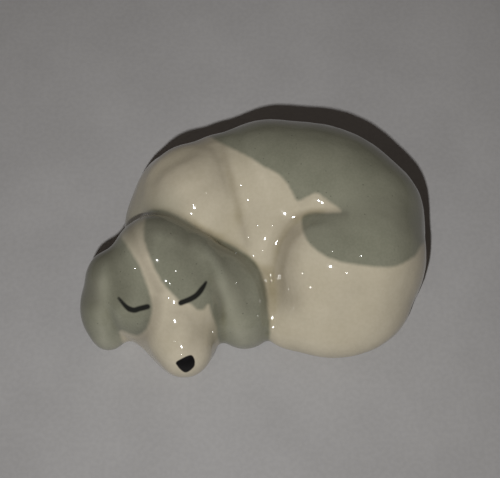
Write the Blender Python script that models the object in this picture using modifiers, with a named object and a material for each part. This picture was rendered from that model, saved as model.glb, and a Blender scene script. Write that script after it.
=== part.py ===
"""A curled, sleeping puppy cast in porcelain, about 66 mm long.

The figurine is one casting, so it is one solid with a flat underside. It is modelled as a sculptor
would in clay: rounded masses are kneaded into the torso, the shoulder, the haunch, the head and the
ears, these are pressed together and worked with a few strokes, and the whole is cut flat underneath.
X runs to the right of somebody who faces the puppy, and Y away from them.
"""

import math

import bmesh
import bpy
from mathutils import Euler, Matrix, Vector
from mathutils.bvhtree import BVHTree
from mathutils.kdtree import KDTree

# Driving size, in metres: the length over all, from the left ear to the rump.
LENGTH = 0.066

# A free form keeps its proportions, so the rest is in parts of 1/66 of the length.
PART = LENGTH / 66

CLAY = 0.55 * PART  # grain of the worked clay
GLAZE_FILLET = 0.75  # radius that the glaze leaves in the creases, in parts
FACETS = 9400  # triangles of the finished solid

# Each mass is a centre and three radii, in parts, and a turn in degrees about X, Y and Z.
TORSO = {
    "rump": ((13.0, 4.7, 6.6), (20.3, 15.1, 16.2), (0, 0, -20)),
    "croup": ((23.0, -0.5, 5.7), (11.7, 13.5, 15.2), (0, 0, 0)),
    "ribs": ((4.2, 6.4, 5.3), (15.6, 15.3, 17.0), (0, 0, 0)),
    "withers": ((-5.2, 6.2, 5.2), (12.0, 12.4, 14.9), (0, 0, 0)),
    "chest": ((-5.6, 0.2, 3.0), (19.7, 18.7, 12.5), (0, 0, 0)),
    "belly": ((3.5, -4.5, 9.3), (7.5, 11.0, 8.0), (33, 0, 0)),
    "neck": ((-13.8, 6.0, 3.0), (8.4, 12.4, 10.5), (0, 0, 0)),
    "arm": ((-14.4, 3.2, 4.8), (9.2, 12.2, 12.8), (0, 0, 0)),
}
SHOULDER = {
    "blade": ((-10.3, 2.6, 8.2), (11.8, 12.5, 13.2), (0, 0, 0)),
}
HAUNCH = {
    "thigh": ((16.2, -8.8, 7.3), (14.2, 13.2, 12.8), (18, 0, 0)),
    "hip": ((22.4, -6.5, 5.5), (11.9, 14.8, 15.6), (0, 0, 0)),
    "flank": ((19.6, -14.0, 3.3), (11.9, 11.6, 11.3), (0, 0, 0)),
    "leg": ((16.0, -16.5, 4.0), (14.2, 11.2, 7.9), (0, 0, 0)),
    "knee": ((13.8, -15.0, 5.7), (9.3, 10.2, 9.6), (0, 0, 0)),
    "foot": ((8.8, -18.0, 3.3), (7.6, 8.0, 6.2), (0, 0, 0)),
    "sole": ((3.0, -15.0, -1.0), (6.5, 6.5, 6.5), (0, 0, 0)),
}
# The head is modelled facing -Y over its own origin, and then turned and set down.
HEAD_AT = (-20.0, -11.5, 0.0)
HEAD_TURN = (0, 0, 23)
HEAD = {
    "skull": ((2.6, -1.6, 11.0), (9.7, 9.5, 11.3), (0, 0, 0)),
    "brow": ((3.8, -8.0, 8.6), (10.2, 8.7, 9.7), (32, 0, 0)),
    "temple_left": ((-5.6, -5.4, 7.6), (5.3, 6.4, 7.2), (0, 0, 0)),
    "temple_right": ((7.2, -5.5, 10.0), (5.8, 7.0, 8.8), (0, 0, 0)),
    "cheek_left": ((-2.7, -7.6, 5.2), (4.8, 6.0, 7.0), (0, 0, 0)),
    "cheek_right": ((7.2, -10.6, 5.0), (6.0, 7.0, 7.4), (0, 0, 0)),
    "muzzle": ((0.9, -14.0, 8.3), (6.4, 9.8, 6.6), (20, 0, 0)),
    "nose": ((0.8, -18.8, 7.2), (5.3, 4.8, 5.9), (0, 0, 0)),
    "jowl_left": ((-2.0, -12.6, 4.0), (3.8, 5.4, 5.6), (0, 0, 0)),
    "chin": ((1.1, -15.4, 2.2), (5.6, 6.2, 5.4), (0, 0, 0)),
    "jowl_right": ((3.5, -15.4, 4.0), (4.4, 5.6, 5.6), (0, 0, 0)),
    "throat": ((1.2, -5.0, 1.5), (9.0, 11.0, 6.5), (0, 0, 0)),
}
EAR_LEFT = {
    "root": ((-22.2, -12.9, 12.6), (4.6, 4.4, 5.4), (0, 0, 0)),
    "upper": ((-25.7, -15.0, 9.9), (5.7, 6.0, 7.6), (0, 0, 0)),
    "lower": ((-27.9, -17.8, 5.0), (4.7, 7.2, 6.8), (38, 0, 0)),
    "tip": ((-27.0, -21.3, 2.5), (3.9, 4.5, 5.4), (0, 0, 0)),
}
EAR_RIGHT = {
    "root": ((-11.2, -11.7, 13.2), (8.8, 5.4, 6.4), (0, 0, -32)),
    "upper": ((-5.8, -14.2, 10.0), (6.4, 5.8, 6.8), (0, 0, 0)),
    "lower": ((-1.2, -17.6, 5.8), (6.2, 8.8, 6.8), (38, 0, 0)),
    "tip": ((-1.0, -20.6, 2.4), (5.5, 4.6, 5.6), (0, 0, 0)),
}

# Strokes follow points on the skin, in parts. A thumb rubs a seam away over a width and a softness.
HIP_SEAM = [(12, -4, 21), (18, -4, 21), (24, -4, 20), (29, -3, 15), (32, -2, 9), (33, -2, 0)]
CROWN_SEAM = [
    (-25.1, -4.8, 9), (-23.2, -3.6, 12), (-21, -3, 14), (-18.7, -2.9, 15), (-16.2, -3, 15.5),
    (-13.7, -4.1, 15.5),
]
CHEEK_SEAM = [(-24, -11, 16), (-25, -14, 14), (-25.8, -17.5, 12), (-26, -20, 10)]
RUBS = [
    (HIP_SEAM, 7.0, 3.5),
    (CHEEK_SEAM, 4.5, 1.8),
    (CROWN_SEAM, 3.0, 1.5),
]

# A modelling tool leaves a hollow of a width and a depth. A negative depth raises a ridge.
HAUNCH_CREASE = [
    (18, -6, 20.5), (14, -6, 20.5), (11, -6, 20), (9, -6.5, 19), (7.3, -8, 18), (5.8, -9.7, 16.5),
    (4.9, -12, 14.5), (4.3, -14.5, 12.5), (3.9, -17.5, 10.5), (3.7, -20.7, 8.5), (3.8, -23.5, 4.5),
]
SCRUFF = [(-19, 1.4, 15.5), (-17.1, 3.6, 17), (-14.9, 5.1, 18.5), (-11.8, 6.8, 19), (-8.6, 8.7, 18.5)]
SHOULDER_VALLEY = [
    (-5, 12, 14), (-4.3, 10, 16), (-2.7, 6, 18), (-1.3, 2, 19), (-0.3, -2, 19.5), (0.3, -7, 19),
]
EAR_FOLD_RIGHT = [
    (-9.2, -10.8, 19), (-7, -14, 17.5), (-5.3, -17.2, 15.5), (-4.1, -20.5, 12.5), (-3.5, -23, 9),
]
EAR_GROOVE_RIGHT = [
    (-8.3, -14.7, 17), (-7, -17.4, 15), (-6, -20, 12.5), (-5.6, -22.3, 10), (-5.4, -23.8, 7.5),
]
EAR_GROOVE_LEFT = [
    (-26.2, -19, 11.5), (-26, -21.5, 10), (-25.6, -23, 8), (-24.6, -24, 5), (-23.4, -24.4, 2),
]
PRESSES = [
    (HAUNCH_CREASE, 3.0, 0.6),
    (SCRUFF, 3.4, 0.35),
    (SHOULDER_VALLEY, 4.0, 0.6),
    (EAR_FOLD_RIGHT, 2.4, -0.25),
    (EAR_GROOVE_RIGHT, 2.6, 0.2),
    (EAR_GROOVE_LEFT, 2.4, 0.25),
]


def clear_scene():
    for obj in list(bpy.data.objects):
        bpy.data.objects.remove(obj)


def mass(centre, radii, turn):
    """One pellet of clay: a sphere stretched to its radii, turned, and put in its place."""
    bpy.ops.mesh.primitive_ico_sphere_add(
        subdivisions=4,
        radius=1.0,
        location=Vector(centre) * PART,
        rotation=[math.radians(angle) for angle in turn],
        scale=Vector(radii) * PART,
    )
    return bpy.context.object


def join(name, objects):
    bpy.ops.object.select_all(action="DESELECT")
    for obj in objects:
        obj.select_set(True)
    bpy.context.view_layer.objects.active = objects[0]
    if len(objects) > 1:
        bpy.ops.object.join()
    bpy.ops.object.transform_apply(location=True, rotation=True, scale=True)
    joined = bpy.context.object
    joined.name = name
    return joined


def apply_modifiers(obj):
    """Makes the object's mesh what its modifiers show."""
    graph = bpy.context.evaluated_depsgraph_get()
    shown = bpy.data.meshes.new_from_object(obj.evaluated_get(graph))
    obj.modifiers.clear()
    old, obj.data = obj.data, shown
    bpy.data.meshes.remove(old)


def knead(name, objects, grain, softness):
    """Presses masses into one closed skin of that grain, and smooths it over that many parts."""
    clay = join(name, objects)
    remesh = clay.modifiers.new("press", "REMESH")
    remesh.mode = "VOXEL"
    remesh.voxel_size = grain
    smooth = clay.modifiers.new("knead", "SMOOTH")
    smooth.factor = 0.5
    smooth.iterations = max(1, round(4 * (softness * PART / grain) ** 2))
    apply_modifiers(clay)
    return clay


def modelled(name, masses, softness):
    pellets = [mass(*values) for values in masses.values()]
    return knead(name, pellets, CLAY * 1.5, softness)


def posed(obj, at, turn):
    turn = Euler([math.radians(angle) for angle in turn]).to_matrix().to_4x4()
    obj.data.transform(Matrix.Translation(Vector(at) * PART) @ turn)
    return obj


def along(points, step):
    """Points close together on a smooth curve through the given ones."""
    points = [Vector(p) * PART for p in points]
    padded = [2 * points[0] - points[1], *points, 2 * points[-1] - points[-2]]
    track = []
    for a, b, c, d in zip(padded, padded[1:], padded[2:], padded[3:]):
        count = max(1, math.ceil((c - b).length / step))
        for i in range(count):
            t = i / count
            bend = (2 * a - 5 * b + 4 * c - d) * t**2 + (3 * b - a - 3 * c + d) * t**3
            track.append(0.5 * (2 * b + (c - a) * t + bend))
    track.append(points[-1])
    return track


def reach(obj, points, width):
    """How strongly a stroke acts on each vertex: 1 under it, and 0 beyond its width and its ends."""
    mesh = obj.data
    tree = BVHTree.FromPolygons([v.co for v in mesh.vertices], [p.vertices[:] for p in mesh.polygons])
    track = [tree.find_nearest(p)[0] for p in along(points, 0.25 * PART)]
    near = KDTree(len(track))
    for i, p in enumerate(track):
        near.insert(p, i)
    near.balance()
    last = len(track) - 1
    strength = {}
    for v in mesh.vertices:
        _, i, gap = near.find(v.co)
        across = gap / (width * PART)
        if across < 1:
            fade = min(1.0, min(i, last - i) / last / 0.25)
            strength[v.index] = fade * fade * (3 - 2 * fade) * (1 - across**2) ** 2
    return strength


def press(obj, points, width, depth):
    """Draws the modelling tool along the skin, which leaves a smooth hollow or ridge."""
    vertices = obj.data.vertices
    strength = reach(obj, points, width)
    moves = [(vertices[i], vertices[i].normal * (-depth * PART * s)) for i, s in strength.items()]
    for v, move in moves:
        v.co += move
    obj.data.update()


def rub(obj, points, width, softness):
    """Rubs the skin smooth along those points."""
    group = obj.vertex_groups.new(name="rub")
    for i, s in reach(obj, points, width).items():
        group.add([i], s, "REPLACE")
    smooth = obj.modifiers.new("rub", "SMOOTH")
    smooth.factor = 0.5
    smooth.iterations = round(4 * (softness * PART / CLAY) ** 2)
    smooth.vertex_group = group.name
    apply_modifiers(obj)
    obj.vertex_groups.clear()


def form():
    """The whole puppy, before it is cut flat underneath."""
    torso = [modelled("torso", TORSO, 2.4), modelled("shoulder", SHOULDER, 0.8)]
    torso = knead("torso", torso, CLAY, 1.5)
    haunch = modelled("haunch", HAUNCH, 1.6)
    head = posed(modelled("head", HEAD, 2.0), HEAD_AT, HEAD_TURN)
    ears = [modelled("ear_left", EAR_LEFT, 1.6), modelled("ear_right", EAR_RIGHT, 1.6)]
    head = knead("head", [head, *ears], CLAY, 1.3)
    puppy = knead("puppy", [torso, haunch, head], CLAY, GLAZE_FILLET)
    for points, width, softness in RUBS:
        rub(puppy, points, width, softness)
    for points, width, depth in PRESSES:
        press(puppy, points, width, depth)
    return puppy


def cut_flat(obj):
    """Cuts away all below Z = 0 and closes the cut with a flat underside."""
    bm = bmesh.new()
    bm.from_mesh(obj.data)
    everything = bm.verts[:] + bm.edges[:] + bm.faces[:]
    bmesh.ops.bisect_plane(bm, geom=everything, plane_co=(0, 0, 0), plane_no=(0, 0, 1))
    below = [f for f in bm.faces if f.calc_center_median().z < 0]
    bmesh.ops.delete(bm, geom=below, context="FACES")
    bmesh.ops.contextual_create(bm, geom=[e for e in bm.edges if e.is_boundary])
    bmesh.ops.recalc_face_normals(bm, faces=bm.faces)
    bm.to_mesh(obj.data)
    bm.free()


def facet(obj):
    """Leaves as many flat facets as a solid can carry, most of them where the form is tight."""
    decimate = obj.modifiers.new("facets", "DECIMATE")
    triangles = sum(len(p.vertices) - 2 for p in obj.data.polygons)
    decimate.ratio = FACETS / triangles
    decimate.use_collapse_triangulate = True
    apply_modifiers(obj)
    for v in obj.data.vertices:
        if v.co.z < 0.05 * PART:
            v.co.z = 0.0


def set_down(obj):
    """Gives the figurine its length, with the middle of its outline over the origin."""
    corners = [Vector(c) for c in obj.bound_box]
    low, high = corners[0], corners[6]
    middle = (low + high) / 2
    scale = LENGTH / (high.x - low.x)
    obj.data.transform(Matrix.Scale(scale, 4) @ Matrix.Translation((-middle.x, -middle.y, 0.0)))
    obj.data.update()


def glaze(obj):
    """Ivory porcelain under a clear, hard glaze."""
    material = bpy.data.materials.new("glazed_porcelain")
    material.use_nodes = True
    shader = material.node_tree.nodes["Principled BSDF"]
    shader.inputs["Base Color"].default_value = (0.50, 0.46, 0.34, 1.0)
    shader.inputs["Roughness"].default_value = 0.12
    shader.inputs["Metallic"].default_value = 0.0
    obj.data.materials.clear()
    obj.data.materials.append(material)


def main():
    clear_scene()
    puppy = form()
    cut_flat(puppy)
    facet(puppy)
    set_down(puppy)
    glaze(puppy)
    puppy.data.shade_smooth()
    collection = bpy.data.collections.new("puppy_figurine")
    bpy.context.scene.collection.children.link(collection)
    for other in puppy.users_collection:
        other.objects.unlink(puppy)
    collection.objects.link(puppy)


if __name__ == "__main__":
    main()
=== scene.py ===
"""A small glazed porcelain puppy, asleep and curled up on pale card."""

import math

import bpy
import numpy as np
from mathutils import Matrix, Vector, noise
from mathutils.bvhtree import BVHTree


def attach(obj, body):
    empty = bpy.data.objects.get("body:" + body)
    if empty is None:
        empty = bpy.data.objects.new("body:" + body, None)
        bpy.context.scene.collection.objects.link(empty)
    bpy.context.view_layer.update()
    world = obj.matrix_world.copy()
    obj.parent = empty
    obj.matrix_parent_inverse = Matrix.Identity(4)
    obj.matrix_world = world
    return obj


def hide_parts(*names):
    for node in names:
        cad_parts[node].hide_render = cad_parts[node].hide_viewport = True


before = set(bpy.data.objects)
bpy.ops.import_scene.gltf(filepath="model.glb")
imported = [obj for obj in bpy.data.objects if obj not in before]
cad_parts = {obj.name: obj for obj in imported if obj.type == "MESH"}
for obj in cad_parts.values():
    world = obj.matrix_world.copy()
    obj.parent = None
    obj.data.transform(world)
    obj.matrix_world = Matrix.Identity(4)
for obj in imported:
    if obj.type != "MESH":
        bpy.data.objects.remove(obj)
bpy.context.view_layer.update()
MM = 0.001


# The camera looks down at the puppy's face from 60 degrees above the shelf, with a long lens. It
# comes first because the modeller and the painter place their strokes as they are seen from it.
CAMERA_HEIGHT = math.radians(60)
CAMERA_DISTANCE = 277.6 * MM
AIM = Vector((-0.96, 5.66, 0.0)) * MM
FRAME_WIDTH = 500
FRAME_HEIGHT = 478
FRAME_MIDDLE = (FRAME_WIDTH / 2, FRAME_HEIGHT / 2)
LENS = 100.8
SENSOR = 36.0
NEAREST = 10 * MM

bpy.ops.object.camera_add()
camera = bpy.context.object
camera.name = "camera"
camera.data.lens = LENS
camera.data.sensor_width = SENSOR
camera.data.clip_start = NEAREST
towards_camera = Vector((0, -math.cos(CAMERA_HEIGHT), math.sin(CAMERA_HEIGHT)))
camera.location = AIM + towards_camera * CAMERA_DISTANCE
camera.rotation_euler = towards_camera.to_track_quat("Z", "Y").to_euler()
bpy.context.view_layer.update()
bpy.context.scene.camera = camera
FOCAL = FRAME_WIDTH * LENS / SENSOR


def seen(points):
    """Where points show in the frame, in pixels from its top left corner."""
    turn = np.array(camera.matrix_world.inverted())
    local = points @ turn[:3, :3].T + turn[:3, 3]
    across = FRAME_MIDDLE[0] + FOCAL * local[:, 0] / -local[:, 2]
    down = FRAME_MIDDLE[1] - FOCAL * local[:, 1] / -local[:, 2]
    return np.stack([across, down], axis=1)


# The lamp: one small lamp just below the camera, which points over the puppy. It comes before the
# puppy because the chips in the glaze are turned to catch it.
LAMP_TURN = math.radians(-7.5)
LAMP_HEIGHT = math.radians(51.7)
LAMP_DISTANCE = 275 * MM
LAMP_TARGET = Vector((5, 90, 0)) * MM
LAMP_WIDTH = 8 * MM
LAMP_POWER = 0.190
LAMP_SPREAD = math.radians(110)
from_puppy = Vector(
    (
        math.sin(LAMP_TURN) * math.cos(LAMP_HEIGHT),
        -math.cos(LAMP_TURN) * math.cos(LAMP_HEIGHT),
        math.sin(LAMP_HEIGHT),
    )
)
bpy.ops.object.light_add(type="AREA", location=AIM + from_puppy * LAMP_DISTANCE)
lamp = bpy.context.object
lamp.name = "lamp"
lamp.rotation_euler = (lamp.location - LAMP_TARGET).to_track_quat("Z", "Y").to_euler()
lamp.data.shape = "DISK"
lamp.data.size = LAMP_WIDTH
lamp.data.energy = LAMP_POWER
lamp.data.spread = LAMP_SPREAD


# The casting: porcelain slip poured in a plaster mould, one piece, with a flat foot that it stands
# on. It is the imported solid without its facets, softened as fettled and glazed clay is.
CLAY = 0.335 * MM
SOFTENED = 0.62 * MM
TOUCHING = 0.001 * MM


def select_only(obj):
    """Leaves one object selected, for the operators to act on."""
    bpy.ops.object.select_all(action="DESELECT")
    obj.select_set(True)
    bpy.context.view_layer.objects.active = obj


def soften(obj, distance, where=""):
    """Rubs the skin smooth over a distance: all of it, or where a vertex group says."""
    smooth = obj.modifiers.new("soften", "SMOOTH")
    smooth.factor = 0.5
    smooth.iterations = round(4 * (distance / CLAY) ** 2)
    smooth.vertex_group = where
    select_only(obj)
    bpy.ops.object.modifier_apply(modifier=smooth.name)


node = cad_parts["puppy"]
puppy = node.copy()
puppy.data = node.data.copy()
puppy.name = "puppy_casting"
bpy.context.scene.collection.objects.link(puppy)
select_only(puppy)
bpy.ops.object.mode_set(mode="EDIT")
bpy.ops.mesh.select_all(action="SELECT")
bpy.ops.mesh.remove_doubles(threshold=TOUCHING)
bpy.ops.object.mode_set(mode="OBJECT")
clay = puppy.modifiers.new("clay", "REMESH")
clay.mode = "VOXEL"
clay.voxel_size = CLAY
bpy.ops.object.modifier_apply(modifier=clay.name)
soften(puppy, SOFTENED)


# The modelling: the folds and hems of the ears, the crease round the head and the one round the
# haunch were cut in the master with a wire tool, and sponged. They show through the glaze as soft
# lines. Behind the crown the crease was rubbed nearly out.
SPONGED = 0.25 * MM


def positions(obj):
    """Where the points of the skin are, one row each."""
    flat = np.empty(len(obj.data.vertices) * 3)
    obj.data.vertices.foreach_get("co", flat)
    return flat.reshape(-1, 3)


def normals(obj):
    """Which way the skin faces at each of its points."""
    flat = np.empty(len(obj.data.vertices) * 3)
    obj.data.vertices.foreach_get("normal", flat)
    return flat.reshape(-1, 3)


def move(obj, points):
    """Puts the points of the skin in new places."""
    obj.data.vertices.foreach_set("co", points.ravel())
    obj.data.update()


def smooth_line(points, closed=False, steps=8):
    """A smooth line through points: a Catmull-Rom curve."""
    points = np.array(points, float)
    if closed:
        padded = np.concatenate([points[-1:], points, points[:2]])
    else:
        before, after = 2 * points[:1] - points[1:2], 2 * points[-1:] - points[-2:-1]
        padded = np.concatenate([before, points, after])
    line = []
    for a, b, c, d in zip(padded, padded[1:], padded[2:], padded[3:]):
        for t in np.arange(steps) / steps:
            bend = (2 * a - 5 * b + 4 * c - d) * t**2 + (3 * b - a - 3 * c + d) * t**3
            line.append(0.5 * (2 * b + (c - a) * t + bend))
    if not closed:
        line.append(points[-1])
    return np.array(line)


def nearest_on_line(points, line):
    """For each point: how far it is from the line, and how far along the line that is, from 0 to 1."""
    starts, spans = line[:-1], np.diff(line, axis=0)
    best = np.full(len(points), np.inf)
    along = np.zeros(len(points))
    for i, (start, span) in enumerate(zip(starts, spans)):
        away = points - start
        t = np.clip(away @ span / (span @ span), 0, 1)
        gap = np.linalg.norm(away - t[:, None] * span, axis=1)
        nearer = gap < best
        best[nearer] = gap[nearer]
        along[nearer] = (i + t[nearer]) / len(spans)
    return best, along


def on_skin(obj, line):
    """Lays a line that is seen in the frame on the skin under it."""
    graph = bpy.context.evaluated_depsgraph_get()
    tree = BVHTree.FromObject(obj, graph)
    turn = camera.matrix_world.to_3x3()
    laid = []
    for across, down in line:
        ray = turn @ Vector((across - FRAME_MIDDLE[0], FRAME_MIDDLE[1] - down, -FOCAL))
        hit = tree.ray_cast(camera.location, ray.normalized())[0]
        if hit:
            laid.append(hit)
    return np.array(laid)


def cut(obj, line, width, depth, ends=0.2):
    """Draws the tool along a line: a hollow of that width and depth, or a hem if depth is negative."""
    laid = on_skin(obj, smooth_line(line))
    points = positions(obj)
    reach = 3 * width
    in_reach = (points > laid.min(0) - reach) & (points < laid.max(0) + reach)
    near = np.flatnonzero(np.all(in_reach, axis=1))
    gap, along = nearest_on_line(points[near], laid)
    fade = np.clip(np.minimum(along, 1 - along) / ends, 0, 1)
    strength = np.exp(-((gap / width) ** 2)) * fade * fade * (3 - 2 * fade)
    points[near] -= normals(obj)[near] * (depth * strength)[:, None]
    move(obj, points)


def rub(obj, line, width, distance):
    """Rubs the skin smooth within a width of a line."""
    laid = on_skin(obj, smooth_line(line))
    gap, _ = nearest_on_line(positions(obj), laid)
    strength = np.clip(1 - (gap / width) ** 2, 0, 1) ** 2
    group = obj.vertex_groups.new(name="rub")
    for i in np.flatnonzero(strength):
        group.add([int(i)], float(strength[i]), "REPLACE")
    soften(obj, distance, where=group.name)
    obj.vertex_groups.clear()


# Each line is given where it shows in the frame, in pixels. Each cut has its width and its depth.
HEAD_CREASE = [
    (118, 237), (126, 228), (140, 218), (155, 214), (175, 218), (200, 233), (225, 246), (248, 258),
    (260, 272), (267, 295), (269, 318), (270, 334),
]
HAUNCH_CREASE = [
    (345, 212), (325, 211), (310, 213), (299, 219), (290, 228), (282, 239), (277, 252), (273, 272),
    (271, 295), (270, 318),
]
RIGHT_EAR_EDGE = [
    (186, 229), (202, 240), (220, 248), (236, 256), (250, 268), (258, 285), (262, 305), (263, 325),
]
RIGHT_EAR_HEM = [(200, 238), (211, 256), (221, 275), (227, 295), (230, 314), (229, 333)]
RIGHT_EAR_FOLD = [(207, 272), (213, 286), (219, 300), (222, 318), (221, 336)]
LEFT_EAR_HEM = [(111, 256), (103, 272), (99, 294), (101, 320), (112, 338)]
LEFT_EAR_FOLD = [(110, 272), (107, 290), (108, 308), (113, 324), (122, 333)]
SHOULDER_VALLEY = [(216, 143), (223, 157), (229, 175), (234, 195), (239, 215), (244, 240)]
CROWN = [(120, 233), (127, 224), (136, 216), (147, 212), (158, 211), (170, 213), (182, 220)]
RIGHT_EAR_FILL = [(196, 226), (212, 236), (230, 246), (247, 256), (258, 266)]
BRIDGE = [(166, 270), (167.5, 285), (169, 299), (171, 313), (173, 328)]
cut(puppy, HEAD_CREASE, 0.5 * MM, 0.05 * MM)
cut(puppy, HAUNCH_CREASE, 0.7 * MM, 0.10 * MM)
cut(puppy, RIGHT_EAR_EDGE, 0.45 * MM, 0.06 * MM)
cut(puppy, RIGHT_EAR_FOLD, 1.2 * MM, 0.08 * MM)
cut(puppy, RIGHT_EAR_HEM, 1.1 * MM, -0.10 * MM)
cut(puppy, LEFT_EAR_FOLD, 1.2 * MM, 0.08 * MM)
cut(puppy, LEFT_EAR_HEM, 1.2 * MM, -0.08 * MM)
cut(puppy, SHOULDER_VALLEY, 1.3 * MM, 0.20 * MM)
rub(puppy, CROWN, 3.0 * MM, 1.5 * MM)
cut(puppy, RIGHT_EAR_FILL, 0.7 * MM, -0.10 * MM)
cut(puppy, BRIDGE, 2.2 * MM, -0.20 * MM, ends=0.5)
soften(puppy, SPONGED)


# The firing: it left the skin a little uneven, with low swells a few millimetres across. The flat
# foot stood on the kiln shelf and stayed flat.
SWELL_SIZE = 2.4 * MM
SWELL_HEIGHT = 0.040 * MM
SWELL_START = 1.0 * MM


def swell(obj, size, height):
    """Raises and sinks the skin softly, and less and less down to the foot."""
    points = positions(obj)
    heights = np.array([noise.noise(Vector(point) / size) for point in points]) * height
    above = np.clip(points[:, 2] / SWELL_START, 0, 1)
    move(obj, points + normals(obj) * (heights * above)[:, None])


swell(puppy, SWELL_SIZE, SWELL_HEIGHT)
select_only(puppy)
bpy.ops.object.shade_smooth()


# The painting: grey-green patches on the head, the ears, the back and the rump, and black for the
# shut eyes and the nose, brushed under the glaze. Each edge is kept as a distance, in millimetres,
# and one pixel of the frame is a fifth of a millimetre on the puppy.
PIXEL = 0.2

# Skin that is turned away from the painter stays bare, as does what lies far outside an outline.
TURNED_AWAY = 0.1
UNPAINTED = -9.0


def keep(obj, name, values):
    """Keeps one number a vertex for the materials to read."""
    layer = obj.data.attributes.new(name, "FLOAT", "POINT")
    layer.data.foreach_set("value", np.asarray(values, np.float32))


def inside(points, outline):
    """Which points lie inside a closed outline."""
    hits = np.zeros(len(points), bool)
    for (ax, ay), (bx, by) in zip(outline, np.roll(outline, -1, axis=0)):
        crosses = (ay > points[:, 1]) != (by > points[:, 1])
        if ay != by:
            hits ^= crosses & (points[:, 0] < (bx - ax) * (points[:, 1] - ay) / (by - ay) + ax)
    return hits


def depth_in(points, corners):
    """How far points lie inside an outline, in millimetres, or outside it if negative."""
    outline = smooth_line(corners, closed=True)
    gap, _ = nearest_on_line(points, np.concatenate([outline, outline[:1]]))
    return np.where(inside(points, outline), gap, -gap) * PIXEL


def near_line(points, line, width):
    """1 on a line and fading to 0 at that many millimetres from it."""
    gap, _ = nearest_on_line(points, smooth_line(line))
    return np.clip(1 - gap * PIXEL / width, 0, 1)


spots = seen(positions(puppy))
up = normals(puppy) @ np.array(towards_camera)
HEAD_PATCH_LEFT = [
    (117, 232), (121, 237), (125, 243), (131, 252), (139, 265), (145, 280), (150, 295), (152, 312),
    (147, 328), (139, 335), (131, 334.5), (125, 332), (121.5, 331), (120, 333), (121.5, 338), (123, 343),
    (124, 352), (110, 364), (88, 358), (60, 320), (62, 260), (90, 232),
]
HEAD_PATCH_RIGHT = [
    (148.5, 211), (145, 222), (143.8, 235), (146.5, 248), (153, 265), (161.5, 281), (171, 292.5),
    (180, 301), (190, 303.5), (197, 309.3), (203.5, 309.3), (208.3, 304.5), (211.5, 313), (216, 326),
    (218, 340), (230, 356), (262, 354), (270, 336), (268, 310), (265, 285), (255, 262), (235, 247),
    (205, 233), (185, 220), (165, 211),
]
BODY_PATCH = [
    (200, 122), (205, 132), (217, 141), (234, 149.5), (249, 157), (264, 166.5), (278, 173.8),
    (287, 183.5), (292.3, 192.5), (297, 200.5), (302, 199.5), (308, 196.5), (317, 193.3), (327, 200),
    (341, 210.8), (330, 213), (312, 213), (302, 218), (304.2, 234.5), (312.5, 246.5), (330.4, 258.4),
    (357.5, 264.7), (392, 266.8), (414, 256.5), (424, 243), (445, 235), (450, 150), (400, 80),
    (250, 80),
]
grey = np.maximum(depth_in(spots, HEAD_PATCH_LEFT), depth_in(spots, HEAD_PATCH_RIGHT))
grey = np.maximum(grey, depth_in(spots, BODY_PATCH))
keep(puppy, "grey_depth", grey)

# The grey is a thin wash at the tips of the ears. There and on the front of the rump it is also
# lightened as painted light, where the floor and the lamp light it. On the outer side of the left ear it
# is darkened as painted shade, and over the crown a grey smudge and painted shade darken the crease.
RIGHT_EAR_WASH_AND_LIGHT = [(222, 285), (230, 305), (236, 325), (244, 341), (258, 343)]
LEFT_EAR_WASH = [(101, 285), (100, 315), (102, 335), (108, 352), (122, 342)]
# Painted light: the front of the rump, which faces the lamp, is lightened along this line.
RUMP_PAINTED_LIGHT = [(345, 203), (370, 206), (395, 214)]
# Painted shade: the outer side of the left ear, turned from the lamp, is darkened along this line.
LEFT_EAR_SHADE_LINE = [(112, 244), (96, 258), (87, 276), (84, 298), (88, 322)]
# The crown line lays a grey smudge that also paints the shade along the crease behind the head.
CROWN_SMUDGE_AND_SHADE = [(118, 236), (130, 222), (145, 215), (158, 213)]
# Thin wash and painted light together lighten the grey here.
wash_and_light = np.maximum(near_line(spots, RIGHT_EAR_WASH_AND_LIGHT, 3.2), near_line(spots, LEFT_EAR_WASH, 2.6))
wash_and_light = np.maximum(wash_and_light, near_line(spots, RUMP_PAINTED_LIGHT, 7.0) * 0.45)
keep(puppy, "wash_and_painted_light", np.where(up > 0, wash_and_light, 0))
# Painted shade on the outer side of the left ear.
keep(puppy, "left_ear_painted_shade", near_line(spots, LEFT_EAR_SHADE_LINE, 4.2))
# Smudge and painted shade over the crown.
keep(puppy, "smudge_and_shade", np.where(up > TURNED_AWAY, near_line(spots, CROWN_SMUDGE_AND_SHADE, 7.0), 0))

# Painted shade: the colour is darkened in the hollows and on the sides of the head and body that turn
# from the lamp, for the shade that falls there. Each has its line, its width in millimetres and its
# strength.
PAINTED_SHADES = [
    ([(290, 232), (284, 252), (283, 275), (288, 298)], 5.0, 0.9),
    ([(345, 214), (325, 213), (305, 214), (290, 222), (280, 238)], 1.6, 0.8),
    ([(302, 204), (315, 197), (328, 203)], 1.6, 0.4),
    ([(222, 146), (229, 170), (234, 190), (240, 215), (247, 245)], 1.8, 0.6),
    ([(150, 200), (163, 186), (176, 176), (192, 168)], 5.0, 0.55),
    ([(180, 208), (200, 195), (216, 182)], 6.0, 0.45),
    ([(207, 262), (214, 280), (220, 300), (222, 315)], 1.8, 0.7),
    ([(128, 224), (137, 245), (147, 268), (158, 290)], 2.4, 0.9),
    ([(146, 250), (148, 234), (158, 226), (172, 230), (188, 240)], 3.6, 1.0),
    ([(162, 252), (180, 252), (198, 264)], 6.0, 0.6),
    ([(168, 330), (184, 318), (190, 340)], 5.0, 0.45),
    ([(195, 240), (212, 252), (228, 268), (240, 288), (246, 305)], 3.6, 0.8),
    ([(108, 256), (116, 275), (121, 295)], 4.0, 1.0),
    ([(104, 254), (96, 268), (93, 285), (92, 300)], 3.4, 1.0),
    ([(176, 312), (188, 316), (195, 330), (190, 348)], 4.0, 0.6),
    ([(156, 300), (154, 318), (148, 333), (138, 340)], 2.8, 0.9),
]
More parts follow.
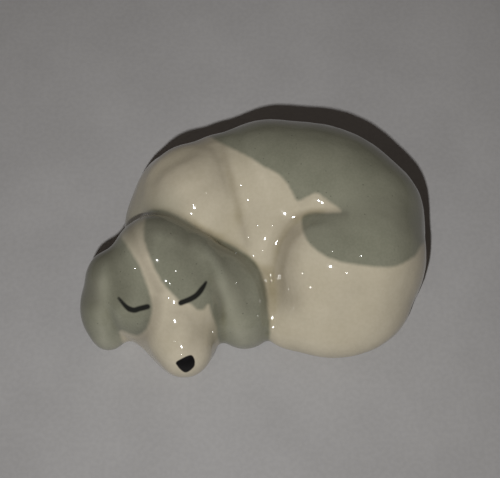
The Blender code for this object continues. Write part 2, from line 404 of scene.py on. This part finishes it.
painted_shade = np.zeros(len(spots))
for line, width, strength in PAINTED_SHADES:
    painted_shade = np.maximum(painted_shade, near_line(spots, line, width) * strength)
keep(puppy, "painted_shade", np.where(up > TURNED_AWAY, painted_shade, 0))

# Each shut eye is one stroke of the brush, thin where it starts and full from its middle on.
EYES = [
    [(118.7, 298.2), (126.6, 307.0), (133.3, 310.1), (140.0, 308.6), (147.4, 306.7)],
    [(206.0, 282.3), (202.9, 287.4), (197.7, 294.1), (190.9, 298.8), (180.8, 302.9)],
]
EYE_STARTS, EYE_FULL = 0.26, 0.54
EYE_FULL_FROM = 0.35
eye = np.full(len(spots), UNPAINTED)
for stroke in EYES:
    gap, along = nearest_on_line(spots, smooth_line(stroke))
    half = np.interp(along, [0, EYE_FULL_FROM], [EYE_STARTS, EYE_FULL])
    eye = np.maximum(eye, half - gap * PIXEL)
keep(puppy, "eye_depth", np.where(up > TURNED_AWAY, eye, UNPAINTED))
NOSE = [
    (176, 362.5), (181, 359), (186, 356.5), (191.5, 355.3), (194.6, 360), (194.3, 366), (190, 370.5),
    (185.5, 372.5), (181, 370), (177.5, 366),
]
keep(puppy, "nose_depth", np.where(up > TURNED_AWAY, depth_in(spots, NOSE), UNPAINTED))


# The glaze: clear and hard, thicker and yellower where it pools in the creases, thin on the hems, and
# wiped off the foot, where the bare biscuit shows. Its darker tint in the creases and the wide hollows
# is also painted shade.
GLAZE_IOR = 1.5
CREASE_REACH = 0.8 * MM
HOLLOW_REACH = 1.8 * MM


def hollow_depths(obj, distance):
    """How far each point lies under the skin around it, in millimetres."""
    copy = obj.copy()
    copy.data = obj.data.copy()
    bpy.context.scene.collection.objects.link(copy)
    before, facing = positions(copy), normals(copy)
    soften(copy, distance)
    sunk = np.einsum("ij,ij->i", positions(copy) - before, facing) / MM
    bpy.data.objects.remove(copy)
    return sunk


# Depths under the skin, for the pooled glaze and the painted shade in creases and hollows.
keep(puppy, "crease_depth", hollow_depths(puppy, CREASE_REACH))
keep(puppy, "wide_hollow_depth", hollow_depths(puppy, HOLLOW_REACH))

IVORY = (0.555, 0.502, 0.383)
IVORY_DULL = (0.505, 0.454, 0.338)
GREY = (0.253, 0.252, 0.190)
GREY_DULL = (0.210, 0.212, 0.157)
# The thin wash's grey, also used as painted light on the ear tips and rump.
GREY_WASH_AND_LIGHT = (0.380, 0.372, 0.290)
# The grey darkened as painted shade on the left ear's outer side.
GREY_SHADED = (0.195, 0.195, 0.145)
EYE_GREY = (0.016, 0.017, 0.015)
BLACK = (0.008, 0.0072, 0.008)
BISCUIT = (0.60, 0.56, 0.49)
# The tint of pooled glaze, also used as painted shade in creases and hollows.
POOL_AND_SHADE_TINT = (0.53, 0.49, 0.34)
THINNED = (1.10, 1.10, 1.12)
# The tint of the painted shade.
PAINTED_SHADE_TINT = (0.76, 0.75, 0.75)


def new_group(name, inputs, outputs):
    """Starts a node group, and gives it with the sockets that lead in and out."""
    group = bpy.data.node_groups.new(name, "ShaderNodeTree")
    for label, kind, value in inputs:
        socket = group.interface.new_socket(name=label, in_out="INPUT", socket_type=kind)
        socket.default_value = value
    for label, kind in outputs:
        group.interface.new_socket(name=label, in_out="OUTPUT", socket_type=kind)
    start = group.nodes.new("NodeGroupInput")
    end = group.nodes.new("NodeGroupOutput")
    return group, start.outputs, end.inputs


def put(tree, socket, value):
    """Sets a socket to a value, or links it to another node's output."""
    if isinstance(value, bpy.types.NodeSocket):
        tree.links.new(value, socket)
    elif isinstance(value, tuple):
        socket.default_value = (*value, 1.0)[: len(socket.default_value)]
    else:
        socket.default_value = value


def sums(tree, operation, *values):
    """One sum on numbers."""
    node = tree.nodes.new("ShaderNodeMath")
    node.operation = operation
    for socket, value in zip(node.inputs, values):
        put(tree, socket, value)
    return node.outputs[0]


def vectors(tree, operation, *values, scale=None):
    """One sum on vectors."""
    node = tree.nodes.new("ShaderNodeVectorMath")
    node.operation = operation
    for socket, value in zip(node.inputs, values):
        put(tree, socket, value)
    if scale is not None:
        put(tree, node.inputs["Scale"], scale)
    return node.outputs["Value" if operation == "LENGTH" else "Vector"]


def ramp(tree, value, low, high):
    """0 below the low value and 1 above the high one, with a soft step between them."""
    node = tree.nodes.new("ShaderNodeMapRange")
    node.interpolation_type = "SMOOTHSTEP"
    put(tree, node.inputs["Value"], value)
    put(tree, node.inputs["From Min"], low)
    put(tree, node.inputs["From Max"], high)
    return node.outputs["Result"]


def blend(tree, mask, below, over, kind="MIX"):
    """Lays one colour over another where the mask says."""
    node = tree.nodes.new("ShaderNodeMix")
    node.data_type = "RGBA"
    node.blend_type = kind
    put(tree, node.inputs["Factor"], mask)
    put(tree, node.inputs["A"], below)
    put(tree, node.inputs["B"], over)
    return node.outputs["Result"]


def cloudy(tree, scale, detail=3.0):
    """Soft clouds on the piece's own coordinates, as one number about 0.5."""
    place = tree.nodes.new("ShaderNodeTexCoord")
    node = tree.nodes.new("ShaderNodeTexNoise")
    put(tree, node.inputs["Vector"], place.outputs["Object"])
    put(tree, node.inputs["Scale"], scale)
    put(tree, node.inputs["Detail"], detail)
    return node.outputs["Fac"]


def kept(tree, name):
    """Reads back one of the numbers kept on the skin."""
    node = tree.nodes.new("ShaderNodeAttribute")
    node.attribute_name = name
    return node.outputs["Fac"]


def use(tree, group, **values):
    """Places a node group with its own values, and gives what it puts out."""
    node = tree.nodes.new("ShaderNodeGroup")
    node.node_tree = group
    for label, value in values.items():
        put(tree, node.inputs[label.replace("_", " ").capitalize()], value)
    return node.outputs[0]


# A brushed edge turns a distance inside an outline into paint, with the wobble of a brush.
HAIRS = 900.0
brushed_edge, start, end = new_group(
    "brushed_edge",
    [
        ("Depth", "NodeSocketFloat", 0.0),
        ("Softness", "NodeSocketFloat", 0.3),
        ("Wobble", "NodeSocketFloat", 0.2),
    ],
    [("Paint", "NodeSocketFloat")],
)
shift = sums(brushed_edge, "SUBTRACT", cloudy(brushed_edge, HAIRS), 0.5)
wobbled = sums(brushed_edge, "MULTIPLY_ADD", shift, start["Wobble"], start["Depth"])
negative = sums(brushed_edge, "MULTIPLY", start["Softness"], -1.0)
put(brushed_edge, end["Paint"], ramp(brushed_edge, wobbled, negative, start["Softness"]))

# Mottling mixes two colours in clouds of one size, with a finer grain of the same over them.
CLOUD_EDGE = (0.30, 0.70)
CLOUD_SHARE, GRAIN_SHARE = 0.6, 0.4
mottle, start, end = new_group(
    "mottle",
    [
        ("Light", "NodeSocketColor", (1, 1, 1, 1)),
        ("Dull", "NodeSocketColor", (0.5, 0.5, 0.5, 1)),
        ("Clouds", "NodeSocketFloat", 100.0),
        ("Grain", "NodeSocketFloat", 2000.0),
    ],
    [("Colour", "NodeSocketColor")],
)
broad = ramp(mottle, cloudy(mottle, start["Clouds"]), *CLOUD_EDGE)
fine = ramp(mottle, cloudy(mottle, start["Grain"], detail=1.0), *CLOUD_EDGE)
dulled = sums(mottle, "MULTIPLY", broad, CLOUD_SHARE)
dulled = sums(mottle, "MULTIPLY_ADD", fine, GRAIN_SHARE, dulled)
put(mottle, end["Colour"], blend(mottle, dulled, start["Light"], start["Dull"]))

# Specks are grains of iron in the grey: one in a few cells of a pattern, each of its own size.
SPECK_CORE = 0.04
SPECK_LEAST, SPECK_SPREAD = 0.06, 0.22
specks, start, end = new_group(
    "specks",
    [("Scale", "NodeSocketFloat", 900.0), ("Share", "NodeSocketFloat", 0.2)],
    [("Specks", "NodeSocketFloat")],
)
place = specks.nodes.new("ShaderNodeTexCoord")
cells = specks.nodes.new("ShaderNodeTexVoronoi")
put(specks, cells.inputs["Vector"], place.outputs["Object"])
put(specks, cells.inputs["Scale"], start["Scale"])
lots = specks.nodes.new("ShaderNodeSeparateColor")
put(specks, lots.inputs["Color"], cells.outputs["Color"])
radius = sums(specks, "MULTIPLY_ADD", lots.outputs["Green"], SPECK_SPREAD, SPECK_LEAST)
within = sums(specks, "SUBTRACT", 1.0, ramp(specks, cells.outputs["Distance"], SPECK_CORE, radius))
chosen = sums(specks, "LESS_THAN", lots.outputs["Red"], start["Share"])
put(specks, end["Specks"], sums(specks, "MULTIPLY", within, chosen))

# Chips are small dents that bubbles left in the glaze. Each leans so that it catches a spark of the
# lamp, and the more it is curved, the smaller is its spark. They are given where they show in the
# frame.
LARGE_CHIPS = [(168.5, 298), (170, 284), (248, 199.5), (347, 273)]
SMALL_CHIPS = [
    (176, 271), (135, 268), (174, 341), (181, 354), (213, 332), (236, 253), (236, 283.5), (258, 316),
    (273, 327), (193, 205), (206, 193), (241, 185), (258, 226), (272, 226), (262.5, 251), (248, 237),
    (332, 251), (361, 256), (302, 273), (310, 287),
]
CHIP_RADIUS = 0.30 * MM
CHIP_RIM = 0.7
LARGE_CURVE = 3.4 * MM
SMALL_CURVE = 1.9 * MM
chips, start, end = new_group(
    "chips",
    [("Radius", "NodeSocketFloat", CHIP_RADIUS)],
    [("Normal", "NodeSocketVector")],
)
place = chips.nodes.new("ShaderNodeTexCoord").outputs["Object"]
facing = chips.nodes.new("ShaderNodeNewGeometry").outputs["Normal"]
skin_points, skin_normals = positions(puppy), normals(puppy)
for chip_list, curve in ((LARGE_CHIPS, LARGE_CURVE), (SMALL_CHIPS, SMALL_CURVE)):
    for spot in on_skin(puppy, chip_list):
        to_lamp = (lamp.location - Vector(spot)).normalized()
        to_eye = (camera.location - Vector(spot)).normalized()
        nearest = np.argmin(np.sum((skin_points - spot) ** 2, axis=1))
        lean = (to_lamp + to_eye).normalized() - Vector(skin_normals[nearest])
        offset = vectors(chips, "SUBTRACT", place, tuple(spot))
        gap = sums(chips, "DIVIDE", vectors(chips, "LENGTH", offset), start["Radius"])
        within = sums(chips, "SUBTRACT", 1.0, ramp(chips, gap, CHIP_RIM, 1.0))
        tilt = vectors(chips, "ADD", vectors(chips, "SCALE", offset, scale=1 / curve), tuple(lean))
        facing = vectors(chips, "ADD", facing, vectors(chips, "SCALE", tilt, scale=within))
put(chips, end["Normal"], vectors(chips, "NORMALIZE", facing))

porcelain = bpy.data.materials.new("glazed_porcelain")
porcelain.use_nodes = True
tree = porcelain.node_tree
shader = tree.nodes["Principled BSDF"]
shader.inputs["IOR"].default_value = GLAZE_IOR

# The body is ivory, greyed at the crown by a smudge and by painted shade along the crease. The grey is
# washed thin and lightened as painted light at the ear tips and the rump, darkened as painted shade on
# the left ear's outer side, and specked, and its edge is the brush's.
SMUDGE_AND_SHADE_STRENGTH = 0.55
WASH_AND_LIGHT_STRENGTH = 0.45
EAR_SHADE_STRENGTH = 0.8
SPECK_STRENGTH = 0.45
ivory = use(tree, mottle, light=IVORY, dull=IVORY_DULL, clouds=140.0, grain=1500.0)
# Smudge and painted shade grey the ivory at the crown.
ivory = blend(tree, sums(tree, "MULTIPLY", kept(tree, "smudge_and_shade"), SMUDGE_AND_SHADE_STRENGTH), ivory, GREY)
grey = use(tree, mottle, light=GREY, dull=GREY_DULL, clouds=170.0, grain=2200.0)
# The thin wash and the painted light lighten the grey.
grey = blend(tree, sums(tree, "MULTIPLY", kept(tree, "wash_and_painted_light"), WASH_AND_LIGHT_STRENGTH), grey, GREY_WASH_AND_LIGHT)
# Painted shade darkens the grey on the left ear's outer side.
grey = blend(tree, sums(tree, "MULTIPLY", kept(tree, "left_ear_painted_shade"), EAR_SHADE_STRENGTH), grey, GREY_SHADED)
specked = sums(tree, "MULTIPLY", use(tree, specks, scale=1300.0, share=0.16), SPECK_STRENGTH)
grey = blend(tree, specked, grey, BLACK)
painted = use(tree, brushed_edge, depth=kept(tree, "grey_depth"), softness=0.50, wobble=0.30)
colour = blend(tree, painted, ivory, grey)

# The glaze tints what it covers: yellow where it pools in a crease, and least where it ran thin. The
# same dark tint in the creases and, wider, in the hollows is also painted shade. How far each place lies
# under the skin around it is in millimetres.
POOL_AND_SHADE_STRENGTH, CREASE_DEPTHS = 0.38, (0.015, 0.12)
HOLLOW_STRENGTH, HOLLOW_DEPTHS = 0.35, (0.03, 0.40)
THIN_DEPTHS = (-0.06, -0.01)
pool_and_shade_mask = ramp(tree, kept(tree, "crease_depth"), *CREASE_DEPTHS)
colour = blend(tree, sums(tree, "MULTIPLY", pool_and_shade_mask, POOL_AND_SHADE_STRENGTH), colour, POOL_AND_SHADE_TINT, "MULTIPLY")
hollow_shade_mask = ramp(tree, kept(tree, "wide_hollow_depth"), *HOLLOW_DEPTHS)
colour = blend(tree, sums(tree, "MULTIPLY", hollow_shade_mask, HOLLOW_STRENGTH), colour, POOL_AND_SHADE_TINT, "MULTIPLY")
thinned = sums(tree, "SUBTRACT", 1.0, ramp(tree, kept(tree, "crease_depth"), *THIN_DEPTHS))
colour = blend(tree, thinned, colour, THINNED, "MULTIPLY")
# Painted shade darkens the colour along the shade lines.
painted_shade_mask = ramp(tree, kept(tree, "painted_shade"), 0.0, 1.0)
colour = blend(tree, painted_shade_mask, colour, PAINTED_SHADE_TINT, "MULTIPLY")

# The eyes and the nose go over all of that.
lashes = use(tree, brushed_edge, depth=kept(tree, "eye_depth"), softness=0.24, wobble=0.12)
colour = blend(tree, lashes, colour, EYE_GREY)
blackened = use(tree, brushed_edge, depth=kept(tree, "nose_depth"), softness=0.14, wobble=0.10)
colour = blend(tree, blackened, colour, BLACK)

# The glaze ends a little above the shelf, in an uneven rim over the bare biscuit.
RIM_LOW, RIM_RISE, RIM_SOFTNESS = 0.05 * MM, 0.4 * MM, 0.1 * MM
RIM_WAVES = 400.0
place = tree.nodes.new("ShaderNodeTexCoord")
height = tree.nodes.new("ShaderNodeSeparateXYZ")
put(tree, height.inputs["Vector"], place.outputs["Object"])
rim = sums(tree, "MULTIPLY_ADD", cloudy(tree, RIM_WAVES), RIM_RISE, RIM_LOW)
over_rim = sums(tree, "SUBTRACT", height.outputs["Z"], rim)
glazed = ramp(tree, over_rim, -RIM_SOFTNESS, RIM_SOFTNESS)
colour = blend(tree, glazed, BISCUIT, colour)
put(tree, shader.inputs["Base Color"], colour)

# The glaze is glossy, the biscuit dull, and the black of the nose burnt on, duller and like graphite.
GLAZE_ROUGHNESS, BISCUIT_ROUGHNESS = 0.05, 0.70
NOSE_ROUGHNESS, NOSE_METAL = 0.35, 0.6
polish = sums(tree, "MULTIPLY_ADD", glazed, GLAZE_ROUGHNESS - BISCUIT_ROUGHNESS, BISCUIT_ROUGHNESS)
polish = sums(tree, "MULTIPLY_ADD", blackened, NOSE_ROUGHNESS, polish)
put(tree, shader.inputs["Roughness"], polish)
put(tree, shader.inputs["Metallic"], sums(tree, "MULTIPLY", blackened, NOSE_METAL))

# Its surface is faintly pitted all over, as the peel of an orange, and has the chips.
PEEL_DEPTH = 0.008 * MM
PEEL_WAVES = 1100.0
peel = tree.nodes.new("ShaderNodeBump")
peel.inputs["Distance"].default_value = PEEL_DEPTH
put(tree, peel.inputs["Height"], cloudy(tree, PEEL_WAVES, detail=1.0))
put(tree, peel.inputs["Normal"], use(tree, chips, radius=CHIP_RADIUS))
put(tree, shader.inputs["Normal"], peel.outputs["Normal"])
puppy.data.materials.clear()
puppy.data.materials.append(porcelain)

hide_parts("puppy")
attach(puppy, "root")


# The floor: a sheet of plain pale card, matt and faintly mottled. It lies flat under the puppy and
# is far bigger than the frame.
CARD = (0.462, 0.455, 0.452)
CARD_DULL = (0.408, 0.401, 0.398)
CARD_SIZE = 2000 * MM
CARD_ROUGHNESS = 0.9
bpy.ops.object.select_all(action="DESELECT")
bpy.ops.mesh.primitive_plane_add(size=CARD_SIZE, location=(0, 0, 0))
floor = bpy.context.object
floor.name = "card"
card = bpy.data.materials.new("pale_card")
card.use_nodes = True
tree = card.node_tree
shader = tree.nodes["Principled BSDF"]
shader.inputs["Roughness"].default_value = CARD_ROUGHNESS
fibres = use(tree, mottle, light=CARD, dull=CARD_DULL, clouds=60.0, grain=1100.0)
put(tree, shader.inputs["Base Color"], fibres)
floor.data.materials.append(card)


# The room: a faint, warm and even light from all around. It shows in the shadow and on the sides
# that the lamp doesn't reach.
ROOM_LIGHT = (1, 0.86, 0.76, 1)
ROOM_STRENGTH = 0.070
world = bpy.data.worlds.new("room")
bpy.context.scene.world = world
world.use_nodes = True
world.node_tree.nodes["Background"].inputs["Color"].default_value = ROOM_LIGHT
world.node_tree.nodes["Background"].inputs["Strength"].default_value = ROOM_STRENGTH
bpy.context.scene.view_settings.view_transform = "Standard"
